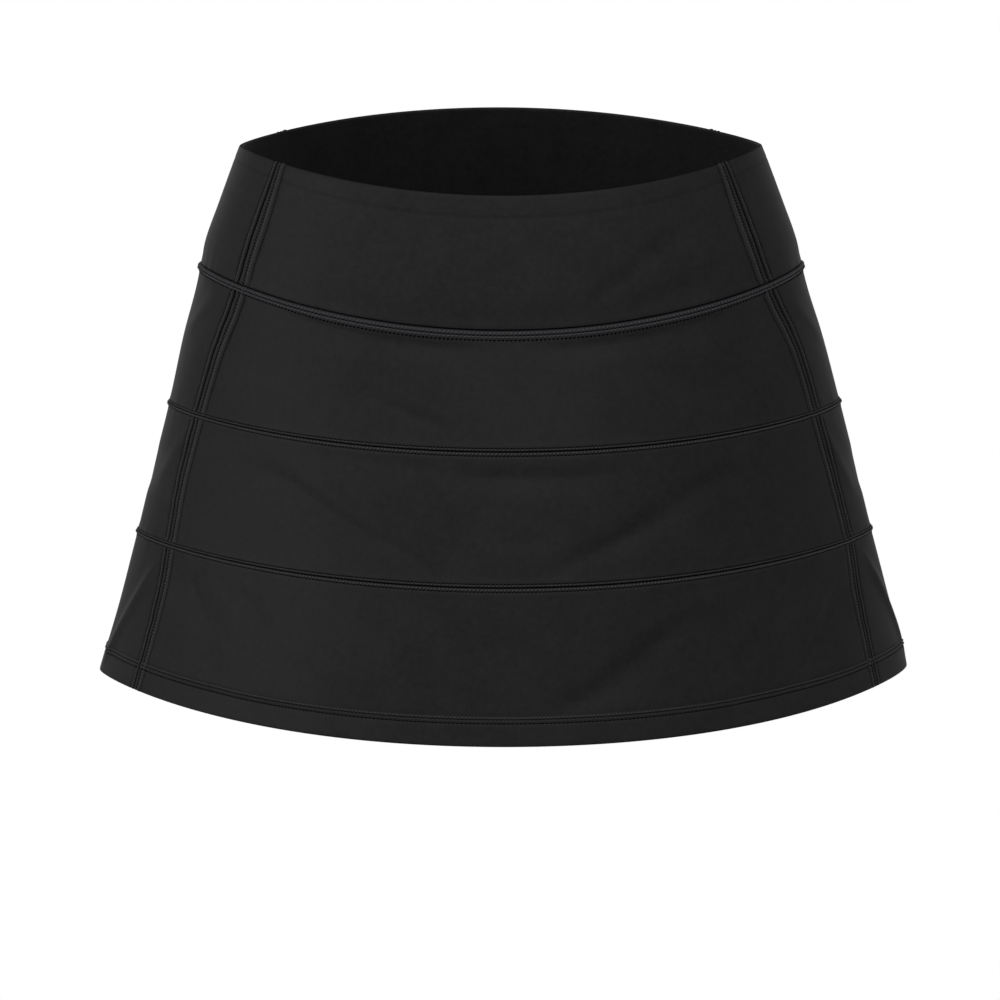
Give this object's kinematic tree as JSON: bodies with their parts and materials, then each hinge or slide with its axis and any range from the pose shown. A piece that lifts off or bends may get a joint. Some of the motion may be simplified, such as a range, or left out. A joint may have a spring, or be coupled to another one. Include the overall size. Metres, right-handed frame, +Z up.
{
  "type": "tennis skort",
  "caption": "Short flared knit skirt with a wide pull-on yoke, tiers joined by topstitched seams, and built-in inner shorts, in its hollow worn form.",
  "frame": {"origin": "centre of the waist opening, level with its top edge at the sides, where the wearer's hips hold it", "axes": "+Z up, -Y towards the front, +X towards the wearer's left"},
  "size_m": [0.4638, 0.3409, 0.326],
  "materials": {
    "yoke_double_knit": "matt black double knit, two layers",
    "tier_double_knit": "matt black double knit",
    "shorts_knit": "matt black light knit"
  },
  "bodies": {
    "root": {"yoke_front": "yoke_double_knit", "yoke_left": "yoke_double_knit", "yoke_back": "yoke_double_knit", "yoke_right": "yoke_double_knit", "tier1_front": "tier_double_knit", "tier1_left": "tier_double_knit", "tier1_back": "tier_double_knit", "tier1_right": "tier_double_knit", "tier2_front": "tier_double_knit", "tier2_left": "tier_double_knit", "tier2_back": "tier_double_knit", "tier2_right": "tier_double_knit", "tier3_front": "tier_double_knit", "tier3_left": "tier_double_knit", "tier3_back": "tier_double_knit", "tier3_right": "tier_double_knit", "shorts_left": "shorts_knit", "shorts_right": "shorts_knit"}
  },
  "joints": []
}
